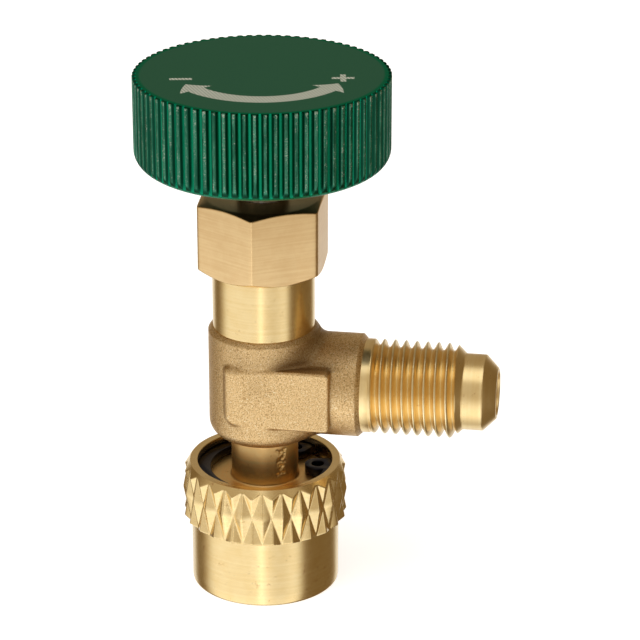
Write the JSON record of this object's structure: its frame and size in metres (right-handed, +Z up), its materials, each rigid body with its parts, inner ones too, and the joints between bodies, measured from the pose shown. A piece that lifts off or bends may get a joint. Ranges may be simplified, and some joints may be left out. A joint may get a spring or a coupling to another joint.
{
  "type": "refrigerant service valve",
  "caption": "Angle valve with a fluted handwheel over a hexagon bonnet, a threaded side port and a knurled union nut that swivels under the body.",
  "frame": {"origin": "centre of the union nut's lower face, on the valve's axis, where the valve stands", "axes": "+Z up along the valve's axis towards the handwheel, +X along the side port, -Y the front"},
  "size_m": [0.0423, 0.0294, 0.0632],
  "materials": {
    "forged_brass": "sand-textured forging with turned ends",
    "turned_brass": "fine turning lines",
    "milled_brass": "milled hexagon flats",
    "green_anodised": "satin green anodising, worn on the flute crests",
    "spindle_steel": "turned steel",
    "spring_steel": "blued spring steel",
    "seal_rubber": "black elastomer",
    "gasket_polymer": "white fluoropolymer"
  },
  "bodies": {
    "valve": {"valve_body": "forged_brass", "flare_gasket": "gasket_polymer", "pin_guide": "turned_brass", "pin_return_spring": "spring_steel", "bonnet": "milled_brass", "bonnet_gasket": "gasket_polymer", "spindle_packing_lower": "seal_rubber", "spindle_packing_upper": "seal_rubber"},
    "pusher": {"depressor_pin": "spindle_steel"},
    "spindle": {"spindle": "spindle_steel", "handwheel": "green_anodised"},
    "union": {"union_nut": "turned_brass", "union_circlip": "spring_steel"}
  },
  "joints": [
    {"name": "union_swivel", "type": "hinge", "parent": "valve", "child": "union", "pos_m": [0, 0, 0.0113], "axis": [0, 0, 1], "continuous": true},
    {"name": "spindle_travel", "type": "slide", "parent": "valve", "child": "pusher", "axis": [0, 0, 1], "range_m": [-0.003, 0], "deforming": ["pin_return_spring"]},
    {"name": "handwheel_turn", "type": "hinge", "parent": "pusher", "child": "spindle", "pos_m": [0, 0, 0.055], "axis": [0, 0, 1], "range_deg": [-1080, 0]}
  ],
  "couplings": [
    {"joint": "spindle_travel", "follows": "handwheel_turn", "m_per_rad": 0.00015915}
  ]
}
